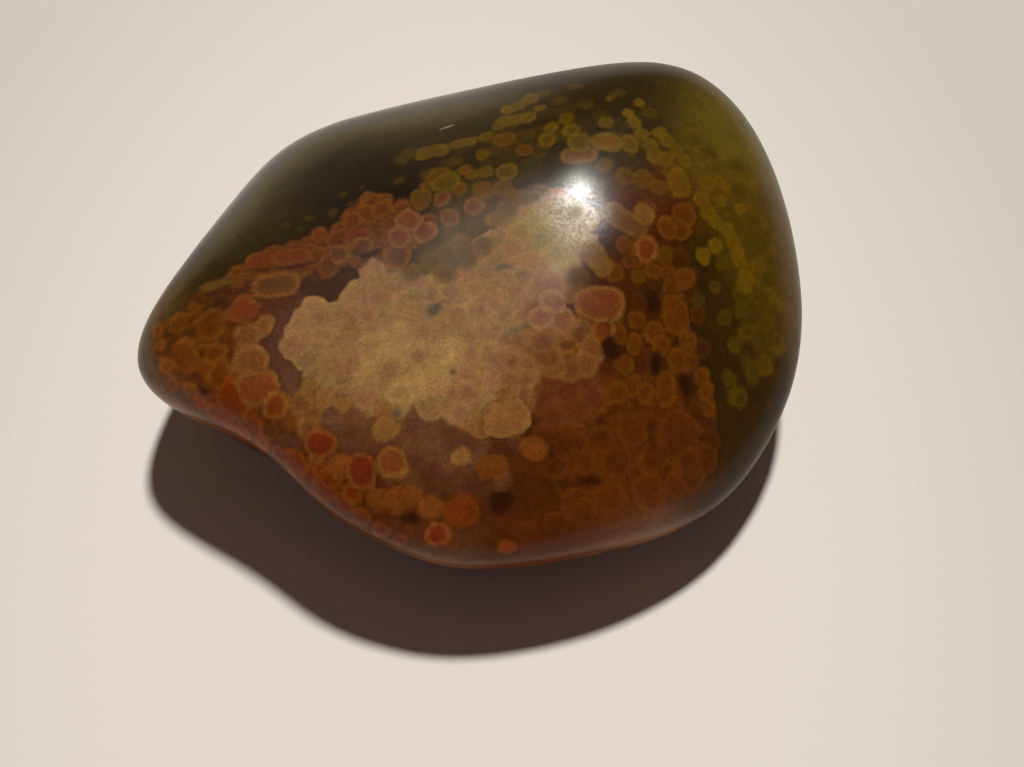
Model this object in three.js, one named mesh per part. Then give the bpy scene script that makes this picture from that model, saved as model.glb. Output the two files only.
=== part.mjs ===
// A tumbled stone: one pebble, worn smooth and round in a tumbling barrel.
//
// Millimetres, +Z up. The stone lies on a small flat spot at z = 0. The origin is the middle
// of its length and width, on the surface that it lies on. +X points to its blunt round end,
// -X to its narrow tip, -Y to its lower front edge and +Y to its taller back edge.
//
// A rough chip becomes a pebble when its flat broken faces wear back and the edges between
// them round off. The shape is made the same way: an oval lump, cut back by broad faces that
// melt into each other, with one shallow hollow that the wear did not reach.

import * as THREE from 'three';
import { mergeVertices } from 'three/addons/utils/BufferGeometryUtils.js';

// Driving dimensions

// Half sizes of the oval lump before its faces wore back.
const LUMP = new THREE.Vector3(15.5, 15.6, 7.4);

// Each worn face looks along a bearing (degrees around +Z, 0 is +X and 90 is +Y) and a rise
// (degrees above level). Its reach is how far it lies from the middle of the lump.
const WORN_FACES = [
  { place: 'back, to the left', bearing: 153, rise: 22, reach: 11.3 },
  { place: 'back', bearing: 106, rise: 48, reach: 8.2 },
  { place: 'back, low', bearing: 100, rise: -28, reach: 10.3 },
  { place: 'blunt end', bearing: 358, rise: 32, reach: 11.6 },
  { place: 'blunt end, low', bearing: 346, rise: -8, reach: 16.1 },
  { place: 'front right', bearing: 321, rise: 15, reach: 12.1 },
  { place: 'front, low', bearing: 279, rise: -22, reach: 10.9 },
  { place: 'front left, low', bearing: 238, rise: -18, reach: 10.4 },
  { place: 'front left, high', bearing: 236, rise: 48, reach: 7.5 },
  { place: 'front, high', bearing: 273, rise: 54, reach: 5.4 },
  { place: 'front right, high', bearing: 294, rise: 28, reach: 9.4 },
  { place: 'crown, to the front right', bearing: 318, rise: 55, reach: 5.7 },
  { place: 'crown, to the right', bearing: 359, rise: 76, reach: 5.7 },
  { place: 'crown, to the back left', bearing: 134, rise: 72, reach: 4.8 },
  { place: 'crown', bearing: 252, rise: 79, reach: 3.6 },
];

// How sharply the faces meet: 2 would give a soft ball, 40 a cut crystal.
const EDGE_SHARPNESS = 12;

// The shallow hollow between the narrow tip and the front edge. Its spread is the angle from
// its middle at which about a third of its depth is left.
const HOLLOW = { bearing: 213, rise: -12, depth: 1.0, spread: 15 };

// How much of the underside is worn flat where the stone lies.
const REST_CUT = 0.6;

// Subdivisions of each of the twenty faces that the round mesh starts from.
const MESH_DETAIL = 17;

// Finish of the polished stone, from afar: dark brown with a soft gloss.
const STONE_COLOUR = 0x5a3d1e;
const STONE_ROUGHNESS = 0.3;

// The unit vector along a bearing and a rise.
function lookingAlong({ bearing, rise }) {
  const fromTop = THREE.MathUtils.degToRad(90 - rise);
  const aroundUp = THREE.MathUtils.degToRad(bearing);
  return new THREE.Vector3(
    Math.sin(fromTop) * Math.cos(aroundUp),
    Math.sin(fromTop) * Math.sin(aroundUp),
    Math.cos(fromTop),
  );
}

const faces = WORN_FACES.map((face) => ({ normal: lookingAlong(face), reach: face.reach }));
const hollowMiddle = lookingAlong(HOLLOW);

// Distance from the middle of the lump to its skin along a unit direction. Each term is the
// share of the way out at which one face would stop the skin. The highest share wins, and a
// high power lets neighbours blend over the edge between them.
function skinDistance(direction) {
  const lumpShare = direction.clone().divide(LUMP).length();
  let total = lumpShare ** EDGE_SHARPNESS;
  for (const { normal, reach } of faces) {
    const faceShare = Math.max(direction.dot(normal) / reach, 0);
    total += faceShare ** EDGE_SHARPNESS;
  }
  const fromHollow = THREE.MathUtils.radToDeg(direction.angleTo(hollowMiddle)) / HOLLOW.spread;
  return total ** (-1 / EDGE_SHARPNESS) - HOLLOW.depth * Math.exp(-(fromHollow ** 2));
}

// A round mesh whose corners are moved out to the skin, as one closed body.
function pebbleGeometry() {
  const ball = new THREE.IcosahedronGeometry(1, MESH_DETAIL);
  ball.deleteAttribute('normal');
  ball.deleteAttribute('uv');
  const pebble = mergeVertices(ball);
  const corners = pebble.attributes.position;
  const corner = new THREE.Vector3();
  for (let i = 0; i < corners.count; i += 1) {
    corner.fromBufferAttribute(corners, i).normalize();
    corner.multiplyScalar(skinDistance(corner));
    corners.setXYZ(i, corner.x, corner.y, corner.z);
  }
  return pebble;
}

// Brings the lowest point to REST_CUT below z = 0 and presses what is below into the plane.
function setDown(geometry) {
  geometry.computeBoundingBox();
  const { min, max } = geometry.boundingBox;
  geometry.translate(-(min.x + max.x) / 2, -(min.y + max.y) / 2, -min.z - REST_CUT);
  const corners = geometry.attributes.position;
  for (let i = 0; i < corners.count; i += 1) {
    corners.setZ(i, Math.max(corners.getZ(i), 0));
  }
  geometry.computeVertexNormals();
  return geometry;
}

const polishedStone = new THREE.MeshStandardMaterial({
  color: STONE_COLOUR,
  roughness: STONE_ROUGHNESS,
  metalness: 0,
});

const stone = new THREE.Mesh(setDown(pebbleGeometry()), polishedStone);
stone.name = 'tumbled_stone';

const group = new THREE.Group();
group.add(stone);

export default group;
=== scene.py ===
# %% [markdown]
# A tumbled stone
#
# This lesson dresses one polished pebble, a little longer than the last joint of a thumb. Its
# size and its worn shape come from a measured model, which the first cell loads. Everything
# after that is looks: a finer skin, the orbs that grew inside the stone, its polish, and a
# plain table top with one small lamp. Lengths in the lists below are millimetres, because the
# stone is small, and MM turns them into Blender's metres.

# %% Load the measured stone
import math
from dataclasses import dataclass

import bmesh
import bpy
import numpy as np
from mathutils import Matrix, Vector, noise
from mathutils.bvhtree import BVHTree


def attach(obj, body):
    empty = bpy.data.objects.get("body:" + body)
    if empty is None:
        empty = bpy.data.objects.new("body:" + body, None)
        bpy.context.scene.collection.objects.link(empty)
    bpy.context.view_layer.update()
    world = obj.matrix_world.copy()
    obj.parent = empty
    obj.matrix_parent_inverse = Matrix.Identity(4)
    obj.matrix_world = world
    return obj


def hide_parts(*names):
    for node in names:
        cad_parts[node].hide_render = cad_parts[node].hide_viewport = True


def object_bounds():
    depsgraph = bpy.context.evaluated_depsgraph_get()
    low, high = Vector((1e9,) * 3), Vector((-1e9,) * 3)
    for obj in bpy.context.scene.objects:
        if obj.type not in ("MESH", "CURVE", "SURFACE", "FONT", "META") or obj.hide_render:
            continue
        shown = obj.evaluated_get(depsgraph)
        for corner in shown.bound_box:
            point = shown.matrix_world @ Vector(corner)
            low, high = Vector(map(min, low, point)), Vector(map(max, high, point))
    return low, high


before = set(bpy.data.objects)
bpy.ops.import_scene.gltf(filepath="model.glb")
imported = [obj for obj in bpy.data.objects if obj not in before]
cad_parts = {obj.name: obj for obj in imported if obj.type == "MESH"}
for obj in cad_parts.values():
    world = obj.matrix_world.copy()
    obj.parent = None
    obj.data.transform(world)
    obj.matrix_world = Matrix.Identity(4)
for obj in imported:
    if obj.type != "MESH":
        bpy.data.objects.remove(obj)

MM = 0.001
STONE = "tumbled_stone"

cad_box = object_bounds()
length, width, height = (cad_box[1] - cad_box[0]) / MM
print(f"The stone measures {length:.1f} x {width:.1f} x {height:.1f} mm")

# %% [markdown]
# The camera
#
# The photograph looks down on the stone at sixty degrees from close by, so the near side looms
# a little. A 50 mm lens on a 36 mm sensor gives the same frame. The camera comes first because
# the marks on the stone are placed through it: a mark's place in the picture is sent out as a
# ray, and the mark goes where the ray meets the skin. From then on it is part of the stone.

# %% Camera
PHOTO_WIDTH = 1024
PHOTO_HEIGHT = 767
SENSOR_WIDTH = 36.0
LENS = 50.0
CAMERA_RISE = math.radians(60)
CAMERA_DISTANCE = 58.0
CAMERA_TARGET = Vector((1.5, -4.05, 6.0))
NEAREST_SEEN = 2.0
FARTHEST_SEEN = 4000.0

towards_camera = Vector((0, -math.cos(CAMERA_RISE), math.sin(CAMERA_RISE)))
camera_place = CAMERA_TARGET + towards_camera * CAMERA_DISTANCE

camera_data = bpy.data.cameras.new("camera")
camera_data.lens = LENS
camera_data.sensor_width = SENSOR_WIDTH
camera_data.clip_start = NEAREST_SEEN * MM
camera_data.clip_end = FARTHEST_SEEN * MM
camera = bpy.data.objects.new("camera", camera_data)
camera.location = camera_place * MM
camera.rotation_mode = "QUATERNION"
camera.rotation_quaternion = towards_camera.to_track_quat("Z", "Y")
bpy.context.scene.collection.objects.link(camera)
bpy.context.scene.camera = camera
print(f"The camera is {camera_place.z:.0f} mm above the table")

# %% [markdown]
# A finer skin
#
# Tumbling leaves no flat spots between a pebble's worn faces, but the measured model is made of
# flat triangles. A Subdivision modifier would round them, and shrink the stone a little. Here
# each triangle is cut into twenty-five. Then every corner is drawn towards the middle of its
# neighbours and pushed back a little more, over and over, which melts the facets and keeps the
# size. The many corners are used again below, to hold the pattern, so they are spaced closely
# enough to draw an orb with them.

# %% Cut the skin finer
CUTS = 4
WELD_GAP = 0.001


def finer_copy(node):
    """A mesh with the node's shape, its triangles each cut into a grid of small ones."""
    mesh = node.data.copy()
    work = bmesh.new()
    work.from_mesh(mesh)
    bmesh.ops.remove_doubles(work, verts=work.verts, dist=WELD_GAP * MM)
    bmesh.ops.subdivide_edges(work, edges=work.edges, cuts=CUTS, use_grid_fill=True)
    bmesh.ops.triangulate(work, faces=work.faces)
    work.to_mesh(mesh)
    work.free()
    mesh.materials.clear()
    for attribute in [item.name for item in mesh.color_attributes]:
        mesh.color_attributes.remove(mesh.color_attributes[attribute])
    return mesh


def corners_of(mesh):
    """The mesh's corners as rows of numbers, in millimetres."""
    rows = np.empty(len(mesh.vertices) * 3)
    mesh.vertices.foreach_get("co", rows)
    return rows.reshape(-1, 3) / MM


skin_mesh = finer_copy(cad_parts[STONE])
skin_mesh.name = "polished_skin"
corners = corners_of(skin_mesh)
print(f"The skin has {len(skin_mesh.polygons)} triangles")

# %% Relax the facets away
RELAX_ROUNDS = 60
DRAW_IN = 0.5
PUSH_OUT = -0.52


def relaxed(mesh, points, rounds):
    """The points, drawn towards the middle of their neighbours and pushed back, in turn."""
    ends = np.empty(len(mesh.edges) * 2, np.int64)
    mesh.edges.foreach_get("vertices", ends)
    first, second = ends.reshape(-1, 2).T
    count = len(points)
    neighbours = np.bincount(first, minlength=count) + np.bincount(second, minlength=count)
    for share in (DRAW_IN, PUSH_OUT) * rounds:
        middle = np.empty_like(points)
        for axis in range(3):
            middle[:, axis] = np.bincount(first, points[second, axis], count)
            middle[:, axis] += np.bincount(second, points[first, axis], count)
        middle /= neighbours[:, None]
        points = points + (middle - points) * share
    return points


def hold_in_box(points, box):
    """The points, none of them outside the measured box."""
    lowest, highest = (np.array(corner) / MM for corner in box)
    return np.clip(points, lowest, highest)


resting = corners[:, 2] < WELD_GAP
corners = relaxed(skin_mesh, corners, RELAX_ROUNDS)
corners[resting, 2] = 0
corners = hold_in_box(corners, cad_box)
print(f"{resting.sum()} corners lie on the table")

# %% [markdown]
# Rays onto the skin
#
# A search tree of the skin's triangles answers where a ray meets the stone. The marks that the
# photograph shows are aimed from the camera. Those on the hidden sides are aimed from the
# middle of the stone outwards, along a bearing around the upright and a rise above level.

# %% Find points on the skin
LENS_PIXELS = LENS / SENSOR_WIDTH * PHOTO_WIDTH
MIDDLE = Vector((0, 0, 5.2))
RAY_START = 0.3

triangles = np.empty(len(skin_mesh.polygons) * 3, np.int64)
skin_mesh.polygons.foreach_get("vertices", triangles)
skin_tree = BVHTree.FromPolygons(corners.tolist(), triangles.reshape(-1, 3).tolist())
camera_right = Vector((1, 0, 0))
camera_up = camera_right.cross(-towards_camera)


def seen_at(across, down):
    """The point of the skin that shows at a place in the photograph's frame."""
    ray = -towards_camera
    ray += camera_right * (across - PHOTO_WIDTH / 2) / LENS_PIXELS
    ray += camera_up * (PHOTO_HEIGHT / 2 - down) / LENS_PIXELS
    point = skin_tree.ray_cast(camera_place, ray.normalized())[0]
    return point or skin_tree.find_nearest(camera_place + ray * CAMERA_DISTANCE)[0]


def facing(bearing, rise):
    """The point of the skin that faces a bearing and a rise, in degrees."""
    turn = math.radians(bearing)
    lift = math.radians(rise)
    flat = math.cos(lift)
    ray = Vector((flat * math.cos(turn), flat * math.sin(turn), math.sin(lift)))
    return skin_tree.ray_cast(MIDDLE + ray * RAY_START, ray)[0]


def on_skin(point):
    """The nearest point of the skin, and its outward direction."""
    place, normal, *_ = skin_tree.find_nearest(point)
    return place, normal


crown = seen_at(PHOTO_WIDTH / 2, PHOTO_HEIGHT / 2)
print(f"The middle of the picture is {crown.z:.1f} mm above the table")

# %% [markdown]
# Colours as they look, and as they are
#
# A colour below is written as it looks in the photograph, in eight bits a channel. The lamp
# stands behind the stone, so the front slopes get less of its light, and a mark there has to be
# paler than it looks. The stone's own colour is the seen one, divided by the share of the light
# that reaches the skin at that point.

# %% Light on the skin
TOWARDS_LAMP = Vector((0.08, 0.38, 0.92)).normalized()
LAMP_SHARE = 0.86
ROOM_SHARE = 0.1
FAINTEST = 0.3
HIDDEN_SHARE = 0.8
VEIL = 0.0035
LEAST_LEFT = 0.25
BYTE = 255
DARK_END = 0.04045
DARK_SLOPE = 12.92
CURVE_OFFSET = 0.055
CURVE_POWER = 2.4


def seen(red, green, blue):
    """A colour that is written as it looks, as linear values."""
    share = np.array([red, green, blue]) / BYTE
    curved = ((share + CURVE_OFFSET) / (1 + CURVE_OFFSET)) ** CURVE_POWER
    return np.where(share < DARK_END, share / DARK_SLOPE, curved)


def light_at(point):
    """The share of the light that reaches the skin at a point."""
    _, normal = on_skin(point)
    return LAMP_SHARE * max(normal.dot(TOWARDS_LAMP), FAINTEST) + ROOM_SHARE


def own(colour, light):
    """The stone's own colour, from the seen one, once the veil of the gloss is taken off."""
    return np.maximum(colour - VEIL, colour * LEAST_LEFT) / light


print(f"The crown gets {light_at(crown):.2f} of the light")

# %% [markdown]
# Looks of an orb
#
# The pattern is made of small balls of colour that grew in the stone before it hardened. The
# polish cuts through them, so each shows as a disc: a paler band at its edge, a body, and often
# a redder heart. A procedural cell texture makes such discs too, but not where they lie on this
# stone. So the discs are listed, and each list has one look.

# %% Looks of the orbs


@dataclass
class Look:
    """An orb's colours as they look, and its finish.

    heart_share is its heart's share of its radius, and outline is how strong the dark line round
    it is. blend is how far, in millimetres on either side of its edge, it melts into older orbs.
    """

    body: tuple
    band: tuple
    heart: tuple
    heart_share: float = 0.5
    outline: float = 0.85
    blend: float = 0.08


OLIVE = Look((89, 67, 9), (94, 71, 10), (87, 63, 9), outline=0.6)
OLIVE_RING = Look((86, 64, 11), (97, 75, 14), (82, 58, 12))
OLIVE_FIRE = Look((92, 67, 8), (94, 72, 10), (93, 61, 6), heart_share=0.6)
OLIVE_DIM = Look((68, 52, 10), (72, 55, 11), (65, 49, 10), outline=0.3)
AMBER = Look((87, 58, 11), (92, 62, 12), (85, 55, 11))
CHESTNUT = Look((86, 48, 13), (93, 54, 17), (81, 44, 13))
BROWN = Look((96, 53, 15), (105, 62, 20), (89, 46, 15))
BRIGHT_BROWN = Look((96, 52, 19), (98, 54, 22), (101, 55, 21))
EMBER = Look((93, 43, 13), (102, 53, 18), (86, 37, 12))
# Ember made brighter and redder by a painted warm reflection at the lower rim.
EMBER_AND_RIM_SHEEN = Look((106, 47, 10), (112, 55, 13), (100, 42, 9))
FIRE = Look((101, 47, 15), (98, 48, 16), (102, 45, 15))
RED = Look((102, 52, 20), (108, 61, 24), (101, 47, 20), heart_share=0.62)
DEEP_RED = Look((98, 48, 21), (110, 63, 28), (91, 37, 21), heart_share=0.62)
RED_RING = Look((104, 57, 20), (118, 73, 29), (94, 45, 20), heart_share=0.45)
GREY_RING = Look((100, 59, 20), (115, 72, 26), (86, 51, 24), heart_share=0.55)
ROSE = Look((107, 63, 27), (119, 78, 36), (101, 53, 27), heart_share=0.6)
TAN = Look((118, 81, 41), (121, 85, 43), (117, 78, 41))
TAN_OLIVE = Look((101, 69, 27), (105, 72, 26), (100, 68, 28))
TAN_DIM = Look((99, 67, 28), (108, 76, 32), (94, 61, 28))
TAN_BROWN = Look((108, 68, 32), (117, 78, 38), (102, 62, 31), outline=0.5)
RUST = Look((79, 40, 13), (86, 46, 16), (74, 37, 13), outline=0.6)
RUST_RED = Look((94, 50, 24), (97, 55, 25), (91, 46, 25), heart_share=0.7, outline=0.4, blend=0.2)
MURK = Look((70, 38, 13), (78, 44, 16), (64, 33, 12))
print("The looks of the orbs are ready")

# %% Looks of the mass, of gaps, and of spots with painted sheen
SAND = Look((129, 96, 57), (134, 101, 60), (125, 91, 55), outline=0.4, blend=0.12)
BLUSH = Look((130, 92, 58), (135, 98, 61), (127, 87, 58), outline=0.4, blend=0.12)
MOSS = Look((121, 93, 54), (130, 101, 58), (115, 87, 53), outline=0.5, blend=0.12)
PALE_SAND = Look((144, 112, 65), (148, 116, 67), (140, 107, 63), outline=0.3, blend=0.25)
GREEN_SAND = Look((122, 98, 40), (127, 103, 42), (117, 92, 38), outline=0.3, blend=0.25)
FADED_TAN = Look((120, 80, 45), (127, 87, 49), (113, 73, 43), outline=0.4, blend=0.2)
SAND_RING = Look((125, 86, 50), (133, 98, 60), (117, 75, 50), heart_share=0.55, outline=0.7)
GAP = Look((42, 21, 6), (46, 24, 8), (40, 20, 6))
# Dark ground with a painted sheen on it, which makes it grey.
GROUND_AND_SHEEN = Look((92, 78, 55), (98, 82, 56), (86, 73, 56), outline=0.3)
# Dim tan, greyed by a painted sheen.
TAN_AND_SHEEN = Look((108, 79, 43), (113, 83, 45), (104, 75, 42), outline=0.4, blend=0.12)
print("The looks of the mass are ready")

# %% [markdown]
# Lists of orbs
#
# Each orb in a list is its place across and down the picture, and its radius in millimetres. A
# longer one has a second place, and is a ball drawn out from the first to the second. The lists
# follow the stone as a collector would describe it, from the narrow tip round to the blunt end.

# %% Orbs at the narrow tip
TIP_BROWN = [
    (183, 356, 0.72), (160, 344, 0.32), (178, 324, 0.5), (166, 366, 0.4), (172, 385, 0.4),
    (196, 308, 0.35), (157, 330, 0.35), (207, 337, 0.52), (211, 322, 0.7), (215, 354, 0.5),
    (218, 374, 0.62), (205, 368, 0.4), (240, 380, 0.42), (190, 392, 0.45),
]
TIP_STRIP = [(204, 287, 244, 274, 0.24)]
TIP_EMBER = [
    (254, 425, 0.42), (261, 443, 0.5), (236, 414, 0.55), (248, 412, 0.4), (212, 403, 0.5),
    (226, 418, 0.45), (231, 399, 0.8), (278, 455, 0.42), (290, 466, 0.4),
]
# Orbs on the lower rim of the tip, brightened by a painted reflection.
TIP_EDGE_AND_SHEEN = [
    (199, 403, 0.36), (214, 414, 0.4), (228, 424, 0.4), (243, 433, 0.42), (262, 446, 0.4),
]
TIP_ROSE = [(252, 389, 266, 386, 0.62)]
TIP_RED = [(244, 308, 0.68)]
TIP_TAN = [(248, 335, 0.58), (265, 325, 0.44), (246, 360, 254, 359, 0.63)]
TIP_GREY_RINGED = [(266, 286, 288, 284, 0.57)]
TIP_RED_RINGED = [(274, 407, 0.58)]
print(f"{len(TIP_BROWN) + len(TIP_EMBER)} plain orbs at the tip")

# %% Orbs of the upper left band
BAND_BROWN = [
    (241, 270, 0.35), (237, 272, 0.37), (306, 251, 0.5), (324, 245, 0.5), (344, 229, 0.6),
    (373, 205, 0.6), (384, 203, 0.45), (367, 213, 0.58), (382, 209, 0.5), (393, 224, 0.6),
    (328, 266, 0.5), (338, 240, 0.55), (352, 220, 0.5), (286, 260, 0.45), (318, 254, 0.45),
]
BAND_RED = [(256, 261, 270, 258, 0.52), (284, 257, 300, 255, 0.46), (360, 235, 0.55)]
BAND_RINGED = [(338, 253, 0.5), (362, 246, 0.46), (398, 256, 0.62)]
BAND_ROSE = [(423, 231, 0.5), (408, 220, 0.62), (400, 236, 0.5)]
LONE_ROSE = [(450, 218, 0.45), (473, 206, 0.43), (442, 198, 0.38)]
FACET_SPECKS = [
    (343, 194, 0.17), (309, 218, 0.18), (285, 225, 0.18), (333, 213, 0.24), (399, 180, 0.25),
    (403, 158, 0.33), (408, 152, 0.33), (300, 229, 0.12), (362, 187, 0.12), (352, 204, 0.16),
]
print(f"{len(BAND_BROWN) + len(BAND_RED)} orbs in the upper left band")

# %% Orbs of the lower front
FRONT_TAN_BROWN = [(309, 414, 0.6), (308, 427, 0.5), (302, 403, 0.5)]
FRONT_BROWN = [
    (293, 421, 0.46), (316, 458, 0.36), (340, 466, 0.6), (378, 500, 0.55), (396, 500, 0.6),
    (412, 498, 0.42), (430, 508, 0.5),
]
FRONT_EDGE = [
    (308, 476, 0.55), (324, 490, 0.55), (344, 504, 0.5), (360, 519, 0.45), (380, 531, 0.42),
    (400, 541, 0.35), (330, 478, 0.5), (296, 461, 0.54), (352, 494, 0.45),
]
FRONT_FIRE = [(460, 512, 0.72), (506, 548, 0.36)]
FRONT_RED = [(319, 444, 0.62), (362, 467, 362, 477, 0.6), (438, 534, 0.56)]
FRONT_ROSE = [(392, 462, 0.62)]
FRONT_TAN = [
    (385, 413, 0.42), (386, 428, 0.54), (462, 457, 0.37), (482, 427, 0.56), (310, 391, 0.42),
    (500, 422, 517, 419, 0.62), (325, 399, 0.42), (343, 404, 0.33),
]
FRONT_AMBER = [(487, 468, 496, 465, 0.48), (533, 449, 0.54)]
FRONT_DIM = [
    (532, 458, 0.7), (556, 524, 0.55), (565, 445, 0.5), (584, 512, 0.6), (612, 520, 0.5),
    (450, 540, 0.4), (640, 515, 0.5),
]
print(f"{len(FRONT_BROWN) + len(FRONT_TAN)} brown and tan orbs on the lower front")

# %% Olive orbs along the top
TOP_OLIVE = [
    (425, 153, 440, 150, 0.42), (455, 144, 470, 141, 0.32), (482, 154, 0.33), (487, 171, 0.36),
    (504, 121, 0.42), (517, 119, 0.42), (529, 117, 0.4), (508, 109, 0.36), (530, 98, 0.42),
    (486, 136, 0.36), (498, 126, 0.36), (550, 128, 0.33), (567, 118, 0.35), (606, 122, 0.33),
    (609, 98, 0.21), (639, 102, 0.25), (540, 108, 0.3), (472, 174, 0.35), (518, 106, 0.33),
]
TOP_DIM = [
    (431, 175, 0.4), (408, 154, 0.33), (512, 146, 0.4), (537, 152, 0.37), (496, 150, 0.35),
    (455, 160, 0.33), (560, 100, 0.3), (585, 104, 0.35), (620, 92, 0.3), (575, 86, 0.3),
    (650, 112, 0.35), (545, 92, 0.33), (527, 134, 0.35),
]
TOP_AMBER = [
    (438, 176, 0.5), (458, 188, 0.42), (484, 190, 0.45), (504, 188, 0.5), (512, 195, 0.4),
    (504, 139, 0.5), (604, 165, 0.4), (625, 176, 0.45), (644, 180, 0.5), (630, 146, 0.4),
    (464, 170, 0.35), (524, 150, 0.35), (658, 186, 0.4), (421, 198, 0.5), (429, 187, 0.4),
]
TOP_RINGED = [
    (446, 182, 0.62), (506, 172, 0.5), (548, 139, 0.45), (571, 130, 0.42), (580, 141, 0.53),
    (629, 143, 0.46),
]
TOP_FIRE = [(602, 141, 613, 142, 0.48)]
TOP_TAN = [(570, 156, 587, 154, 0.42)]
print(f"{len(TOP_OLIVE) + len(TOP_AMBER)} olive and amber orbs along the top")

# %% The chain down the right
CHAIN_OLIVE = [
    (628, 113, 0.3), (634, 122, 0.32), (642, 134, 0.34), (650, 145, 0.38), (657, 156, 0.42),
    (666, 158, 0.4), (660, 133, 0.33), (668, 141, 0.33), (677, 150, 0.35), (685, 161, 0.35),
    (672, 170, 0.42), (702, 199, 0.42), (708, 213, 0.36), (719, 181, 0.33),
    (726, 186, 0.29), (722, 201, 0.27), (739, 209, 0.28), (716, 246, 0.36), (703, 256, 0.32),
    (718, 223, 0.33), (728, 229, 0.38), (734, 241, 0.38), (739, 253, 0.38), (743, 265, 0.4),
    (746, 277, 0.4), (744, 287, 0.3),
]
CHAIN_FIRE = [(678, 178, 680, 187, 0.5)]
CHAIN_DIM = [
    (762, 245, 0.5), (742, 296, 0.45), (740, 311, 0.33), (715, 287, 0.3), (772, 313, 0.45),
    (781, 292, 0.4), (760, 336, 0.5), (748, 330, 0.4), (768, 280, 0.4), (776, 340, 0.4),
    (735, 345, 0.4), (752, 372, 0.45), (730, 380, 0.35), (700, 300, 0.3), (725, 318, 0.35),
    (694, 140, 0.35), (708, 152, 0.35), (716, 168, 0.3), (745, 195, 0.35), (756, 222, 0.4),
    (770, 260, 0.4), (766, 205, 0.35), (736, 165, 0.35), (722, 262, 0.3), (742, 400, 0.4),
]
print(f"{len(CHAIN_OLIVE)} clear and {len(CHAIN_DIM)} dim orbs down the right")

# %% Brown and orange orbs at the blunt end
END_AMBER = [
    (647, 206, 0.4), (625, 245, 0.4), (637, 259, 0.4), (615, 272, 0.38), (653, 270, 0.45),
    (668, 273, 0.45), (685, 279, 0.45), (672, 291, 0.5), (637, 320, 0.42), (634, 344, 0.43),
    (655, 332, 0.48), (662, 346, 0.43), (690, 342, 0.45), (679, 361, 0.6), (702, 376, 0.42),
    (706, 391, 0.42), (709, 408, 0.36), (690, 362, 0.4), (682, 330, 0.42), (628, 262, 0.3),
    (620, 334, 0.42), (625, 364, 0.45), (632, 386, 0.5), (617, 392, 0.5), (645, 392, 0.45),
]
END_DIM = [(578, 277, 0.45), (664, 256, 0.4), (640, 276, 0.4), (614, 318, 0.4)]
END_TAN_DIM = [(613, 213, 634, 227, 0.5)]
END_TAN = [(592, 252, 602, 266, 0.48), (644, 215, 0.46)]
END_FIRE = [
    (685, 215, 0.56), (682, 231, 0.45), (668, 229, 0.5), (676, 308, 677, 322, 0.6),
    (666, 382, 666, 395, 0.46),
]
END_RED_RINGED = [(647, 248, 0.56), (603, 329, 0.52)]
END_ROSE = [(595, 302, 608, 303, 0.78)]
END_RUST = [
    (679, 435, 1.05), (640, 400, 0.7), (612, 392, 0.6), (632, 430, 0.7), (660, 412, 0.5),
    (600, 440, 0.6), (655, 456, 0.7), (690, 462, 0.6), (618, 462, 0.7), (585, 462, 0.5),
    (592, 405, 0.6), (610, 498, 0.7), (648, 490, 0.7), (676, 486, 0.55), (576, 500, 0.6),
]
END_RUST_RED = [
    (567, 392, 1.0), (552, 380, 0.6), (585, 378, 0.7), (545, 400, 0.6), (556, 416, 0.6),
    (592, 398, 0.6), (575, 412, 0.6),
]
END_TAN_EDGE = [
    (577, 334, 0.7), (592, 350, 0.6), (562, 356, 0.65), (557, 330, 0.5), (586, 366, 0.55),
    (570, 368, 0.6), (553, 366, 0.5),
]
END_EDGE_RINGED = [(566, 343, 0.48)]
print(f"{len(END_AMBER) + len(END_RUST)} brown orbs at the blunt end")

# %% [markdown]
# The tan mass
#
# In the middle of the crown the orbs grew so close that they joined into one tan mass with a
# scalloped edge. Its edge is a closed line of points. Balls are set along the line a little
# inside it, and then the inside is filled with balls at random places that keep a distance from
# each other, which is how crowded orbs share the room. The same filling serves the zones where
# smaller or dimmer orbs crowd. Spacings and shifts are in the picture's pixels.

# %% Filling a closed line with orbs
FILL_TRIES = 3000


def inside(outline, across, down):
    """Whether a place lies inside a closed line, by how many of its sides pass to the right."""
    crossings = 0
    for (x0, y0), (x1, y1) in zip(outline, outline[1:] + outline[:1]):
        spans = (y0 > down) != (y1 > down)
        if spans and across < x0 + (down - y0) * (x1 - x0) / (y1 - y0):
            crossings += 1
    return crossings % 2 == 1


def filling(random, outline, spacing, radii):
    """Orbs at random places inside a closed line, which keep their spacing."""
    across = [x for x, y in outline]
    down = [y for x, y in outline]
    places = []
    for _ in range(FILL_TRIES):
        x = random.uniform(min(across), max(across))
        y = random.uniform(min(down), max(down))
        crowded = any(math.hypot(x - px, y - py) < spacing for px, py, _ in places)
        if not crowded and inside(outline, x, y):
            places.append((x, y, random.uniform(*radii)))
    return places


def along_edge(outline, spacing, shift):
    """Places along a closed line, moved inwards, with the line going clockwise on the picture."""
    places = []
    for (x0, y0), (x1, y1) in zip(outline, outline[1:] + outline[:1]):
        side = math.hypot(x1 - x0, y1 - y0)
        steps = max(round(side / spacing), 1)
        for step in range(steps):
            share = step / steps
            x = x0 + (x1 - x0) * share - (y1 - y0) / side * shift
            y = y0 + (y1 - y0) * share + (x1 - x0) / side * shift
            places.append((x, y))
    return places


print(f"A filling makes {FILL_TRIES} tries")

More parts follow.
